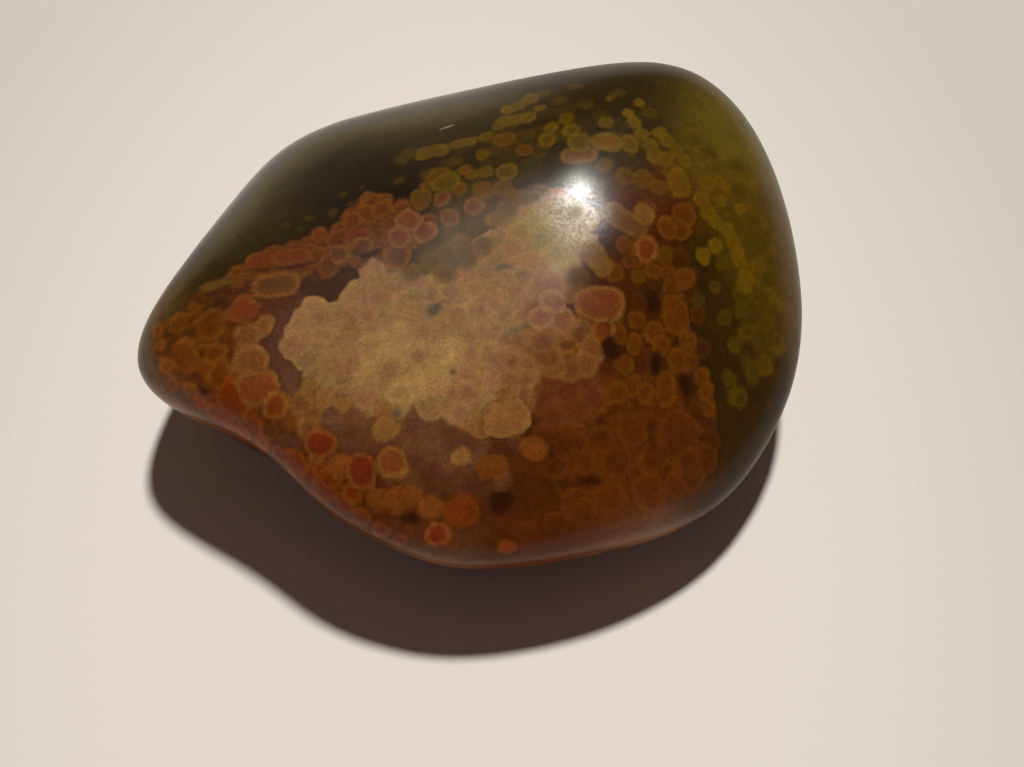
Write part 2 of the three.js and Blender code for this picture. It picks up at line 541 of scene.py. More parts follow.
# %% The edge of the mass, and two zones in it
MASS_EDGE = [
    (288, 342), (293, 326), (301, 312), (313, 303), (325, 301), (332, 316), (342, 308),
    (356, 309), (366, 296), (364, 280), (371, 267), (381, 264), (398, 270), (410, 283),
    (430, 276), (455, 266), (478, 250), (500, 230), (515, 212), (530, 203), (548, 196),
    (566, 196), (584, 206), (592, 222), (588, 244), (578, 262), (572, 284), (562, 306),
    (550, 326), (540, 346), (532, 364), (526, 380), (520, 396), (520, 410), (505, 426),
    (478, 428), (466, 420), (436, 412), (410, 400), (392, 408), (372, 405), (340, 398),
    (322, 380), (308, 374), (301, 356), (291, 352),
]
PALE_ZONE = [(368, 332), (415, 322), (450, 338), (456, 366), (440, 390), (400, 392), (366, 372)]
FADED_ZONE = [
    (548, 282), (574, 288), (568, 315), (558, 338), (546, 358), (534, 378), (524, 404),
    (506, 414), (504, 390), (512, 360), (524, 330), (536, 305),
]
print(f"The line round the mass has {len(MASS_EDGE)} points")

# %% Fill the mass
MASS_SEED = 7
MASS_SPACING = 13
MASS_RADII = (0.38, 0.6)
EDGE_SPACING = 17
EDGE_SHIFT = 5
EDGE_RADII = (0.26, 0.56)

random = np.random.default_rng(MASS_SEED)
mass_fill = filling(random, MASS_EDGE, MASS_SPACING, MASS_RADII)
pale_fill = filling(random, PALE_ZONE, MASS_SPACING, MASS_RADII)
faded_fill = filling(random, FADED_ZONE, MASS_SPACING, MASS_RADII)
edge_places = along_edge(MASS_EDGE, EDGE_SPACING, EDGE_SHIFT)
mass_rim = [(x, y, random.uniform(*EDGE_RADII)) for x, y in edge_places]
print(f"The mass has {len(mass_rim)} orbs round it and {len(mass_fill)} in it")

# %% The base of the mass, and orbs that stand out in it
MASS_CORE = [
    (330, 340, 400, 330, 1.6), (400, 320, 500, 290, 1.5), (420, 370, 505, 370, 1.4),
    (520, 240, 525, 340, 1.1), (365, 300, 385, 290, 1.0), (340, 375, 380, 380, 1.0),
    (545, 222, 560, 240, 1.0), (480, 260, 510, 240, 0.8), (440, 395, 500, 405, 0.8),
]
MASS_GREENER = [
    (547, 211, 0.6), (566, 212, 0.6), (560, 232, 0.6), (578, 226, 0.5), (574, 246, 0.5),
    (534, 222, 0.5), (545, 240, 0.6), (520, 230, 0.5), (556, 256, 0.5),
]
MASS_RINGED = [(552, 300, 0.56), (541, 317, 0.52)]
# Dim tan orbs along the band of painted sheen that runs down and left from the glint.
MASS_SHEEN_BAND = [
    (433, 262, 0.5), (448, 252, 0.5), (462, 243, 0.45), (495, 219, 0.4), (509, 208, 0.45),
    (445, 271, 0.45), (466, 258, 0.5), (484, 246, 0.4), (524, 197, 0.4), (412, 272, 0.4),
    (540, 190, 0.35),
]
print(f"{len(MASS_CORE)} broad balls lie under the mass")

# %% Zones of crowded orbs
TIP_ZONE = [
    (156, 334), (200, 300), (262, 268), (330, 258), (300, 290), (262, 310), (240, 345),
    (262, 372), (282, 395), (300, 420), (330, 440), (350, 470), (400, 515), (352, 508),
    (300, 472), (240, 434), (185, 402), (158, 370),
]
FRONT_ZONE = [
    (300, 440), (350, 476), (420, 492), (450, 500), (452, 545), (420, 543), (380, 528),
    (320, 490),
]
END_ZONE = [
    (580, 262), (640, 236), (690, 264), (700, 300), (704, 400), (690, 430), (640, 410),
    (600, 350), (585, 320),
]
RUST_ZONE = [
    (552, 400), (590, 370), (620, 350), (650, 372), (690, 400), (712, 430), (700, 470),
    (650, 500), (570, 496), (545, 460),
]
TOP_ZONE = [
    (425, 172), (480, 135), (530, 100), (600, 112), (650, 140), (690, 190), (640, 202),
    (600, 160), (540, 162), (510, 200), (440, 200),
]
RIGHT_ZONE = [
    (690, 128), (740, 170), (768, 230), (785, 300), (775, 370), (735, 400), (742, 300),
    (728, 240), (705, 180),
]
BAND_ZONE = [
    (234, 280), (264, 254), (300, 246), (340, 222), (368, 198), (400, 204), (424, 216),
    (428, 238), (406, 260), (384, 254), (352, 262), (318, 266), (280, 268), (242, 283),
]
HAZE_ZONE = [
    (346, 416), (400, 424), (470, 436), (524, 444), (520, 474), (470, 486), (400, 474),
    (352, 446),
]
print(f"The zone at the tip has {len(TIP_ZONE)} points round it")

# %% Fill the zones
ZONE_SEED = 11
# Each zone's closed line, the spacing of its orbs, and their least and greatest radius.
ZONES = [
    (TIP_ZONE, 15, MASS_RADII), (FRONT_ZONE, 19, (0.5, 0.8)), (END_ZONE, 16, (0.35, 0.6)),
    (RUST_ZONE, 17, (0.5, 0.9)), (TOP_ZONE, 17, (0.3, 0.5)), (RIGHT_ZONE, 17, (0.3, 0.5)),
    (BAND_ZONE, 12, (0.35, 0.55)), (HAZE_ZONE, 15, (0.35, 0.7)),
]

random = np.random.default_rng(ZONE_SEED)
zone_orbs = [filling(random, *zone) for zone in ZONES]
tip_orbs, front_orbs, end_orbs, rust_orbs, top_orbs, right_orbs, band_orbs, haze_orbs = zone_orbs
print(f"{sum(len(orbs) for orbs in zone_orbs)} orbs fill the zones")

# %% [markdown]
# Gaps and spots of painted sheen
#
# Here and there the dark ground shows as a hole or a crack between crowded orbs. A few grey
# spots in and round the tan mass are dark ground with a painted sheen on it. They are laid
# down last, like orbs of their own.

# %% Gaps, cracks and spots of painted sheen
GAPS = [
    (654, 305, 0.4), (656, 356, 656, 368, 0.2), (684, 380, 687, 391, 0.3),
    (608, 345, 611, 354, 0.3), (602, 420, 0.13), (651, 426, 652, 447, 0.08),
    (561, 484, 588, 480, 0.1), (586, 481, 598, 482, 0.16), (412, 518, 0.3), (404, 520, 0.2),
    (355, 251, 364, 256, 0.08), (364, 256, 378, 251, 0.09), (255, 270, 290, 267, 0.06),
    (290, 267, 317, 260, 0.06), (498, 505, 502, 500, 0.35), (201, 390, 206, 392, 0.18),
]
# Grey spots: the dark ground with a painted sheen on it.
SHEENED_SPOTS = [
    (434, 309, 0.26), (453, 372, 0.14), (450, 263, 457, 261, 0.24), (498, 268, 509, 266, 0.09),
    (525, 327, 0.12), (582, 326, 0.12), (396, 414, 0.2), (516, 330, 0.08),
]
print(f"{len(GAPS)} gaps and {len(SHEENED_SPOTS)} smoky spots")

# %% [markdown]
# From lists to orbs
#
# A list gives places in the picture, and an orb's middle lies where the ray through that place
# meets the skin. No two orbs of the stone are quite alike. So each is made a few hundredths
# paler or darker than its look, by random numbers with a fixed seed.

# %% Orbs from a list
SHADE_SEED = 3
SHADE_SPREAD = 0.05

shades = np.random.default_rng(SHADE_SEED)


@dataclass
class Orb:
    """A ball, or one drawn out between two ends, with its look and how clearly it shows."""

    start: Vector
    end: Vector
    radius: float
    look: Look
    clear: float
    light: float = HIDDEN_SHARE


def listed(places, look, clear=1.0):
    """Orbs for a list of places in the picture, some a little paler and some darker."""
    orbs = []
    for *where, radius in places:
        start = seen_at(where[0], where[1])
        end = seen_at(where[2], where[3]) if len(where) > 2 else start
        light = light_at((start + end) / 2) * shades.normal(1, SHADE_SPREAD)
        orbs.append(Orb(start, end, radius, look, clear, light))
    return orbs


def mixed(random, places, looks, clear):
    """Orbs for a list of places, each with one of several looks."""
    return [listed([place], looks[random.integers(len(looks))], clear)[0] for place in places]


print(f"Orbs of one look differ by about {SHADE_SPREAD:.0%}")

# %% [markdown]
# The hidden sides
#
# The photograph doesn't show the back, the underside or the lower front, so these are made up
# from the same kinds of orb. Nature doesn't scatter them evenly: they grew in nests and in
# strings. A nest is a crowd of orbs round a point of the skin, and a string is a walk over it.
# Both use a fixed seed, so the stone is the same each time.

# %% Nests and strings
STRING_TURN = 0.4
STRING_STEP = 1.5


def nest(random, middle, count, spread, radii, looks, clear):
    """A crowd of orbs round a point of the skin. The random draws spread them like a bell."""
    orbs = []
    for _ in range(count):
        offset = Vector(random.normal(0, spread, 3))
        place, _ = on_skin(middle + offset)
        look = looks[random.integers(len(looks))]
        orbs.append(Orb(place, place, random.uniform(*radii), look, clear))
    return orbs


def string(random, start, heading, count, radii, looks, clear):
    """A walk over the skin that leaves an orb at each step and turns a little as it goes."""
    orbs = []
    place = start
    for _ in range(count):
        radius = random.uniform(*radii)
        heading = (heading + Vector(random.normal(0, STRING_TURN, 3))).normalized()
        place, normal = on_skin(place + heading * radius * STRING_STEP)
        heading = (heading - normal * heading.dot(normal)).normalized()
        look = looks[random.integers(len(looks))]
        orbs.append(Orb(place, place, radius, look, clear))
    return orbs


print(f"Each step of a string is {STRING_STEP} times the radius of its orb")

# %% Where they grew
HIDDEN_SEED = 23
SMALL = (0.2, 0.45)
MIDDLING = (0.35, 0.65)
LARGE = (0.45, 0.8)
# Bearing and rise of the nest's middle, how many orbs, their spread, radii and looks, how clear.
NESTS = [
    (0, -60, 90, 5.0, LARGE, [RUST, AMBER, OLIVE_DIM], 0.35),
    (180, -60, 90, 5.0, LARGE, [BROWN, RUST, EMBER], 0.35),
    (185, 5, 26, 1.8, MIDDLING, [BROWN, RED, TAN], 0.9),
    (200, -25, 30, 2.2, LARGE, [BROWN, EMBER, RUST], 0.9),
    (235, -30, 34, 2.4, MIDDLING, [EMBER, BROWN, TAN], 0.9),
    (270, -35, 34, 2.6, MIDDLING, [EMBER, AMBER, RUST], 0.8),
    (300, -25, 26, 2.4, LARGE, [RUST, AMBER], 0.7),
    (335, -20, 26, 2.2, LARGE, [RUST, OLIVE_DIM], 0.6),
    (5, -10, 30, 2.4, MIDDLING, [OLIVE, AMBER], 0.8),
    (40, 5, 30, 2.4, MIDDLING, [OLIVE, OLIVE_FIRE], 0.8),
    (75, -10, 24, 2.0, SMALL, [OLIVE, OLIVE_RING, OLIVE_FIRE], 0.7),
    (110, -20, 30, 2.4, MIDDLING, [OLIVE, OLIVE_RING, AMBER], 0.7),
    (150, -15, 26, 2.2, MIDDLING, [AMBER, BROWN, OLIVE], 0.8),
    (60, -50, 34, 2.6, MIDDLING, [AMBER, TAN_DIM, OLIVE], 0.8),
    (150, -55, 40, 2.8, MIDDLING, [TAN, SAND, ROSE], 0.9),
    (260, -70, 40, 2.8, MIDDLING, [TAN, BROWN, ROSE], 0.9),
]
# Bearing and rise of the string's start, its heading, how many orbs, radii, looks, how clear.
STRINGS = [
    (130, 10, (1, -0.3, 0.2), 26, SMALL, [OLIVE, OLIVE_DIM], 0.5),
    (165, 5, (0.5, 1, -0.4), 26, SMALL, [OLIVE, AMBER], 0.6),
    (95, -5, (1, 0.2, -0.2), 30, SMALL, [OLIVE, OLIVE_RING], 0.7),
    (60, 5, (0.8, -1, -0.3), 26, SMALL, [OLIVE, OLIVE_FIRE], 0.7),
    (20, -5, (0.1, -1, -0.3), 24, SMALL, [OLIVE, AMBER], 0.7),
    (320, -40, (-1, 0.4, -0.4), 26, SMALL, [AMBER, TAN_DIM], 0.8),
    (100, -35, (-1, 0.3, -0.2), 26, SMALL, [TAN_DIM, AMBER], 0.8),
]

random = np.random.default_rng(HIDDEN_SEED)
hidden = []
for bearing, rise, *rest in NESTS:
    hidden += nest(random, facing(bearing, rise), *rest)
for bearing, rise, heading, *rest in STRINGS:
    hidden += string(random, facing(bearing, rise), Vector(heading), *rest)
print(f"{len(hidden)} orbs on the hidden sides")

# %% Keep made-up orbs off the picture side
PICTURE_MARGIN = 0.08


def shows(point):
    """Whether the camera sees a point of the skin, and not at the very edge."""
    _, normal = on_skin(point)
    return normal.dot((camera_place - point).normalized()) > PICTURE_MARGIN


hidden = [orb for orb in hidden if not shows(orb.start)]
print(f"{len(hidden)} are left once the picture side is cleared")

# %% [markdown]
# From orbs to the skin
#
# The shader needs to know, at each point, how far it is inside an orb, how far from that orb's
# own edge, and whose colours to use. Hundreds of distance nodes would do it slowly. Instead the
# corners of the skin carry these values as attributes, worked out once here. The orbs are laid
# down one after the other, so a later one covers the earlier ones and stays whole, as the
# nearer of two crowded orbs does. A slow wave bends the space a little before the distances are
# taken, so that no orb is a perfect circle.

# %% The pattern
# In millimetres: farther than any edge, how far round itself an orb acts, and how far a seam does.
FAR = 5.0
REACH = 0.9
SEAM_REACH = 0.2
# A core value outside every heart, and the least square of a length to divide by.
NO_HEART = 2.0
NO_LENGTH = 1e-9
# Waves to a millimetre, and how far they move a point.
WAVES = [(0.9, 0.16), (2.1, 0.07)]
# Without a seed, Blender starts its noise vectors by the clock, and each run bends the orbs
# anew. This seed is a clock value with which the orbs looked right.
WAVE_SEED = 1796074987

noise.seed_set(WAVE_SEED)


def bent(points):
    """The points, moved a little by two slow waves."""
    moved = points.copy()
    for pitch, size in WAVES:
        shifts = [noise.noise_vector(Vector(point) * pitch) for point in points]
        moved += np.array(shifts) * size
    return moved


class Pattern:
    """What each corner of the skin knows of the orbs round it."""

    def __init__(self, points):
        count = len(points)
        self.points = bent(points)
        self.edge = np.full(count, -FAR)
        self.rim = np.full(count, FAR)
        self.seam = np.full(count, SEAM_REACH)
        self.core = np.full(count, NO_HEART)
        self.clear = np.zeros(count)
        self.body = np.zeros((count, 3))
        self.band = np.zeros((count, 3))
        self.heart = np.zeros((count, 3))

    def distance(self, orb):
        """How far each corner is from the orb's middle, or from the line between its ends."""
        start, end = bent(np.array([orb.start, orb.end], float))
        along = end - start
        offset = self.points - start
        share = np.clip(offset @ along / max(along @ along, NO_LENGTH), 0, 1)
        return np.linalg.norm(offset - share[:, None] * along, axis=1)

    def lay(self, orb):
        """Lays an orb over those already there.

        level is how far a corner is inside the orb, and owned is the orb's share of the corner.
        """
        away = self.distance(orb)
        near = away < orb.radius + REACH
        level = orb.radius - away[near]
        before = self.edge[near]
        owned = np.clip(level / orb.look.blend / 2 + 0.5, 0, 1)
        owned = np.where((before < 0) & (level > before), 1, owned)
        self.edge[near] = np.maximum(before, level)
        self.rim[near] += (np.maximum(level, 0) - self.rim[near]) * owned
        outside = np.where(level < 0, -level, SEAM_REACH) + (1 - orb.look.outline) * SEAM_REACH
        self.seam[near] = np.minimum(np.maximum(self.seam[near], level), outside)
        core = away[near] / orb.radius / (2 * orb.look.heart_share)
        self.core[near] += (core - self.core[near]) * owned
        self.clear[near] += (orb.clear - self.clear[near]) * owned
        for kept, colour in self.colours(orb.look):
            kept[near] += (own(seen(*colour), orb.light) - kept[near]) * owned[:, None]

    def colours(self, look):
        """The pattern's three colours, each with the look's own."""
        return [(self.body, look.body), (self.band, look.band), (self.heart, look.heart)]


pattern = Pattern(corners)
print(f"The pattern has {len(pattern.points)} corners to fill in")

# %% Lay the orbs down
LAYERS_SEED = 11

random = np.random.default_rng(LAYERS_SEED)
# Each layer's places, its look or looks, and how clearly it shows where it doesn't show fully.
LAYERS = [
    hidden,
    mixed(random, tip_orbs, [MURK, RUST], 0.5),
    mixed(random, front_orbs, [MURK, RUST], 0.35),
    mixed(random, end_orbs, [MURK, RUST], 0.35),
    mixed(random, rust_orbs, [RUST, MURK], 0.6),
    mixed(random, top_orbs, [OLIVE_DIM], 0.25),
    mixed(random, right_orbs, [OLIVE_DIM, OLIVE], 0.35),
    listed(CHAIN_DIM, OLIVE_DIM, 0.65),
    listed(END_RUST, RUST, 0.75),
    listed(END_RUST_RED, RUST_RED, 0.7),
    listed(END_TAN_EDGE, TAN_BROWN, 0.85),
    listed(END_EDGE_RINGED, GREY_RING, 0.8),
    listed(haze_orbs[::2], TAN_BROWN, 0.12),
    listed(haze_orbs[1::2], RUST, 0.12),
    listed(MASS_CORE, SAND),
    mixed(random, mass_rim, [SAND, BLUSH, TAN], 1.0),
    mixed(random, mass_fill, [SAND, SAND, BLUSH, MOSS], 1.0),
    mixed(random, pale_fill, [PALE_SAND, PALE_SAND, SAND], 1.0),
    listed(MASS_GREENER, GREEN_SAND),
    mixed(random, faded_fill, [FADED_TAN, TAN_BROWN], 0.9),
    listed(MASS_RINGED, SAND_RING),
    # Dim tan orbs with painted sheen, along the band below the glint.
    listed(MASS_SHEEN_BAND, TAN_AND_SHEEN, 0.45),
    mixed(random, band_orbs, [BROWN, RED, BRIGHT_BROWN], 0.8),
    listed(TIP_STRIP, TAN_DIM, 0.5),
    listed(TIP_BROWN, BROWN, 0.8),
    listed(TIP_EMBER, EMBER, 0.85),
    listed(TIP_ROSE, ROSE, 0.9),
    listed(TIP_TAN, TAN_BROWN),
    listed(TIP_RED, RED),
    listed(TIP_GREY_RINGED, GREY_RING),
    listed(TIP_RED_RINGED, RED_RING),
    listed(BAND_BROWN, BROWN, 0.85),
    listed(BAND_RED, RED, 0.85),
    listed(BAND_RINGED, GREY_RING, 0.9),
    listed(BAND_ROSE, ROSE, 0.9),
    listed(LONE_ROSE, ROSE, 0.6),
    listed(FACET_SPECKS, OLIVE_DIM, 0.45),
    listed(FRONT_DIM, RUST, 0.35),
    listed(FRONT_EDGE, EMBER, 0.8),
    # Orbs on the tip's lower rim, with a painted reflection in their colour.
    listed(TIP_EDGE_AND_SHEEN, EMBER_AND_RIM_SHEEN, 0.85),
    listed(FRONT_BROWN, BRIGHT_BROWN, 0.85),
    listed(FRONT_TAN_BROWN, TAN_BROWN, 0.85),
    listed(FRONT_FIRE, FIRE, 0.7),
    listed(FRONT_AMBER, BRIGHT_BROWN, 0.95),
    listed(FRONT_TAN, TAN),
    listed(FRONT_RED, DEEP_RED),
    listed(FRONT_ROSE, ROSE),
    listed(TOP_DIM, OLIVE_DIM, 0.6),
    listed(TOP_OLIVE, OLIVE, 0.75),
    listed(TOP_AMBER, AMBER, 0.8),
    listed(TOP_TAN, TAN_DIM, 0.9),
    listed(TOP_RINGED, OLIVE_RING, 0.9),
    listed(TOP_FIRE, OLIVE_FIRE),
    listed(CHAIN_OLIVE, OLIVE, 0.85),
    listed(CHAIN_FIRE, OLIVE_FIRE, 0.9),
    listed(END_DIM, AMBER, 0.6),
    listed(END_AMBER, CHESTNUT, 0.85),
    listed(END_TAN_DIM, TAN_DIM, 0.8),
    listed(END_TAN, TAN_OLIVE, 0.9),
    listed(END_FIRE, CHESTNUT, 0.9),
    listed(END_RED_RINGED, RED_RING, 0.95),
    listed(END_ROSE, ROSE),
    listed(GAPS, GAP, 0.85),
    # Grey spots of painted sheen over the dark ground.
    listed(SHEENED_SPOTS, GROUND_AND_SHEEN, 0.5),
]
for layer in LAYERS:
    for orb in layer:
        pattern.lay(orb)
print(f"{sum(len(layer) for layer in LAYERS)} orbs lie on the skin")

# %% [markdown]
# The ground between the orbs
#
# Between the orbs the stone is darker and its colour drifts: green black on the upper left
# facet, olive brown at the blunt end, purple brown in front. Each ground is a spot of colour
# with a reach, and every corner takes a mix of the spots, the nearest counting most. A few spots
# on the rims and below the glint also carry painted sheen.

# %% Ground colours
FACET_BLACK = seen(27, 21, 8)
GREEN_BLACK = seen(45, 35, 8)
OLIVE_BROWN = seen(74, 54, 14)
DARK_OLIVE = seen(45, 31, 8)
PURPLE_BROWN = seen(90, 61, 43)
# Olive ground lightened by a painted sheen, for the upper right rim.
OLIVE_AND_RIM_SHEEN = seen(86, 72, 22)
# Brown of the lower rims, lightened by a painted reflection of the paper.
RIM_BROWN_AND_SHEEN = seen(98, 66, 44)
# Brown greyed by painted sheen, on the tip's rim and in the band below the glint.
BROWN_AND_SHEEN = seen(74, 57, 30)
RED_BROWN = seen(76, 35, 9)
DARK_RED = seen(58, 30, 11)
RUST_BROWN = seen(74, 37, 12)
# Across and down the picture, how far the colour reaches, and the colour.
# A few spots on the rims and below the glint carry painted sheen in their colour.
GROUNDS = [
    (340, 185, 2.6, FACET_BLACK), (395, 180, 1.6, FACET_BLACK), (270, 230, 2.0, GREEN_BLACK),
    (210, 285, 1.6, GREEN_BLACK), (470, 152, 1.8, GREEN_BLACK), (590, 110, 2.6, GREEN_BLACK),
    (450, 110, 3.0, GREEN_BLACK), (718, 114, 2.0, OLIVE_AND_RIM_SHEEN), (765, 215, 2.4, OLIVE_BROWN),
    (775, 290, 2.0, OLIVE_BROWN), (700, 285, 1.8, DARK_OLIVE), (735, 360, 2.2, DARK_OLIVE),
    (735, 440, 2.4, DARK_OLIVE), (655, 215, 1.4, RED_BROWN), (680, 270, 1.4, DARK_OLIVE),
    (750, 150, 1.8, OLIVE_AND_RIM_SHEEN), (470, 460, 1.4, PURPLE_BROWN), (535, 505, 1.4, DARK_RED),
    (600, 350, 1.2, DARK_RED), (680, 470, 1.6, RUST_BROWN), (630, 440, 2.0, RUST_BROWN),
    (600, 240, 1.4, DARK_RED), (640, 300, 1.6, DARK_RED), (650, 80, 2.0, GREEN_BLACK),
    (200, 350, 1.8, DARK_RED), (250, 350, 1.4, DARK_RED), (470, 530, 1.6, DARK_RED),
    (600, 520, 2.2, RUST_BROWN), (490, 502, 1.2, DARK_RED), (412, 520, 1.4, DARK_RED),
    (520, 545, 1.6, RUST_BROWN), (530, 470, 1.2, DARK_RED), (345, 430, 1.8, PURPLE_BROWN),
    (430, 450, 1.8, PURPLE_BROWN), (282, 365, 1.6, PURPLE_BROWN), (318, 272, 1.2, DARK_RED),
    (220, 410, 1.6, RED_BROWN), (350, 505, 1.6, RED_BROWN), (165, 345, 1.8, BROWN_AND_SHEEN),
    (470, 230, 1.4, BROWN_AND_SHEEN), (545, 175, 1.4, GREEN_BLACK), (175, 393, 1.2, RIM_BROWN_AND_SHEEN),
    (440, 552, 1.4, RIM_BROWN_AND_SHEEN), (640, 538, 1.4, RIM_BROWN_AND_SHEEN), (506, 448, 0.9, DARK_RED),
    (404, 483, 0.9, DARK_RED), (366, 503, 0.8, DARK_RED),
]
# Bearing and rise, how far the colour reaches, and the colour.
HIDDEN_GROUNDS = [
    (90, -10, 5.0, FACET_BLACK), (150, -10, 4.0, GREEN_BLACK), (30, -30, 4.0, OLIVE_BROWN),
    (270, -40, 4.0, RED_BROWN), (200, -40, 4.0, RUST_BROWN), (270, -88, 4.0, DARK_RED),
]
LEAST_WEIGHT = 1e-12


def ground_spots():
    """Each ground's place on the skin, its reach and the stone's own colour there."""
    for across, down, reach, colour in GROUNDS:
        place = seen_at(across, down)
        yield place, reach, own(colour, light_at(place))
    for bearing, rise, reach, colour in HIDDEN_GROUNDS:
        yield facing(bearing, rise), reach, own(colour, HIDDEN_SHARE)


def drifting_ground(points):
    """Each point's ground colour, mixed from the spots of colour by how near they are."""
    total = np.zeros((len(points), 3))
    weights = np.full(len(points), LEAST_WEIGHT)
    for place, reach, colour in ground_spots():
        apart = np.linalg.norm(points - np.array(place), axis=1) / reach
        weight = np.exp(-(apart**2))
        total += weight[:, None] * colour
        weights += weight
    return total / weights[:, None]


ground = drifting_ground(pattern.points)
print(f"The ground is mixed from {len(GROUNDS) + len(HIDDEN_GROUNDS)} spots of colour")

# %% [markdown]
# Small wear
#
# No hand holds a stone still in the tumbler, so its faces are never quite even. Ripples a few
# hundredths of a millimetre deep are too small to see, but the gloss shows them, because they
# make the edge of the glint uneven. A shallow dip under the glint shapes it too. A bump in the
# material couldn't do either, because the coat of gloss follows the skin and not the bump. So
# the skin itself is worn. The pattern was laid before, and stays where it is.

# %% Ripples and a dip
# Waves to a millimetre, and their greatest depth.
RIPPLES = [(0.35, 0.03), (0.9, 0.012)]
DIP_AT = (576, 232)
DIP_DEPTH = 0.022
DIP_RADIUS = 2.1


def outward_directions(mesh):
    """The outward direction at each of the mesh's corners."""
    rows = np.empty(len(mesh.vertices) * 3)
    mesh.vertices.foreach_get("normal", rows)
    return rows.reshape(-1, 3)


def worn_depth(points, dip):
    """How far the wear has cut into the skin at each point: uneven, and deepest in the dip."""
    depth = np.zeros(len(points))
    for pitch, size in RIPPLES:
        depth += [size * (1 + noise.noise(Vector(point) * pitch)) / 2 for point in points]
    share = np.minimum(np.linalg.norm(points - np.array(dip), axis=1) / DIP_RADIUS, 1)
    return depth + DIP_DEPTH * (1 - share**2) ** 2


skin_mesh.vertices.foreach_set("co", (corners * MM).ravel())
skin_mesh.update()
depth = worn_depth(corners, seen_at(*DIP_AT))
depth[resting] = 0
corners = corners - outward_directions(skin_mesh) * depth[:, None]
print(f"The wear is at most {depth.max():.2f} mm deep")

# %% Write the attributes


def keep_number(mesh, name, values):
    """Stores one number for each corner."""
    attribute = mesh.attributes.new(name, "FLOAT", "POINT")
    attribute.data.foreach_set("value", values.astype(np.float32))


def keep_colour(mesh, name, values):
    """Stores one colour for each corner."""
    opaque = np.ones((len(values), 4), np.float32)
    opaque[:, :3] = values
    attribute = mesh.attributes.new(name, "FLOAT_COLOR", "POINT")
    attribute.data.foreach_set("color", opaque.ravel())


skin_mesh.vertices.foreach_set("co", (corners * MM).ravel())
for name in ("edge", "rim", "seam", "core", "clear"):
    keep_number(skin_mesh, "orb_" + name, getattr(pattern, name))
for name in ("body", "band", "heart"):
    keep_colour(skin_mesh, "orb_" + name, getattr(pattern, name))
keep_colour(skin_mesh, "ground", ground)
for polygon in skin_mesh.polygons:
    polygon.use_smooth = True
skin_mesh.update()
print(f"The skin carries {len(skin_mesh.attributes)} attributes")

# %% [markdown]
# Shader sums in plain Python
#
# A shader is a sheet of nodes joined by links, and a long sum becomes a long tangle. The small
# class below wraps one socket, so that a sum written in Python adds its own Math nodes. Colours
# don't go through Math nodes, which would turn them grey: they are mixed instead.

# %% A value of the shader


class Value:
    """One output of a node. A sum on it adds the Math node that works it out."""

    def __init__(self, sheet, socket):
        self.sheet = sheet
        self.socket = socket

    def sum(self, operation, first, second):
        return self.sheet.node("ShaderNodeMath", {"operation": operation}, {0: first, 1: second})

    def __add__(self, other):
        return self.sum("ADD", self, other)

    def __sub__(self, other):
        return self.sum("SUBTRACT", self, other)

    def __rsub__(self, other):
        return self.sum("SUBTRACT", other, self)

    def __mul__(self, other):
        return self.sum("MULTIPLY", self, other)

    __radd__ = __add__
    __rmul__ = __mul__


print("Sums of shader values are ready")

# %% A sheet of nodes
CLOUD_MEAN = 0.5
# The Mix node has sockets for numbers, for vectors and for colours. These are for colours.
MIX_FIRST = 6
MIX_SECOND = 7
MIX_RESULT = 2


class Sheet:
    """A material's sheet of nodes."""

    def __init__(self, material):
        material.use_nodes = True
        self.tree = material.node_tree
        self.tree.nodes.clear()

    def node(self, kind, settings, sockets, output=0):
        """A node of a kind, with its settings, then its sockets' values or links."""
        made = self.tree.nodes.new(kind)
        for name, setting in settings.items():
            setattr(made, name, setting)
        for name, content in sockets.items():
            if isinstance(content, Value):
                self.tree.links.new(content.socket, made.inputs[name])
            else:
                made.inputs[name].default_value = content
        return Value(self, made.outputs[output]) if made.outputs else made

    def number(self, name):
        """One of the numbers that the skin's corners carry."""
        return self.node("ShaderNodeAttribute", {"attribute_name": name}, {}, "Fac")

    def colour(self, name):
        """One of the colours that the skin's corners carry."""
        return self.node("ShaderNodeAttribute", {"attribute_name": name}, {}, "Color")

    def place_in_mm(self):
        """The place on the object, in millimetres."""
        place = self.node("ShaderNodeTexCoord", {}, {}, "Object")
        sockets = {0: place, "Scale": 1 / MM}
        return self.node("ShaderNodeVectorMath", {"operation": "SCALE"}, sockets)

    def rise(self, value, low, high):
        """0 below low and 1 above high, with a smooth climb between."""
        sockets = {"Value": value, "From Min": low, "From Max": high}
        return self.node("ShaderNodeMapRange", {"interpolation_type": "SMOOTHSTEP"}, sockets)

    def mix(self, share, first, second, blend="MIX"):
        """Two colours mixed by a share, from the first to the second."""
        settings = {"data_type": "RGBA", "blend_type": blend, "clamp_result": False}
        sockets = {0: share, MIX_FIRST: first, MIX_SECOND: second}
        return self.node("ShaderNodeMix", settings, sockets, MIX_RESULT)

    def cloud(self, place, scale, detail, shift=0.0):
        """Soft random values from 0 to 1, with this many waves to a millimetre."""
        moved = self.node("ShaderNodeVectorMath", {"operation": "ADD"}, {0: place, 1: (shift,) * 3})
        sockets = {"Vector": moved, "Scale": scale, "Detail": detail}
        return self.node("ShaderNodeTexNoise", {}, sockets)

    def wobbled(self, name, place, pitch, detail, size, shift):
        """One of the numbers that the corners carry, made uneven by soft random values."""
        return self.number(name) + (self.cloud(place, pitch, detail, shift) - CLOUD_MEAN) * size

    def near(self, place, point, radius, full=0.0):
        """1 at a point, falling to 0 at a radius round it. It stays 1 up to the full radius."""
        sockets = {0: place, 1: tuple(point)}
        away = self.node("ShaderNodeVectorMath", {"operation": "DISTANCE"}, sockets, "Value")
        return 1 - self.rise(away, full, radius)


print("The sheet of nodes is ready")

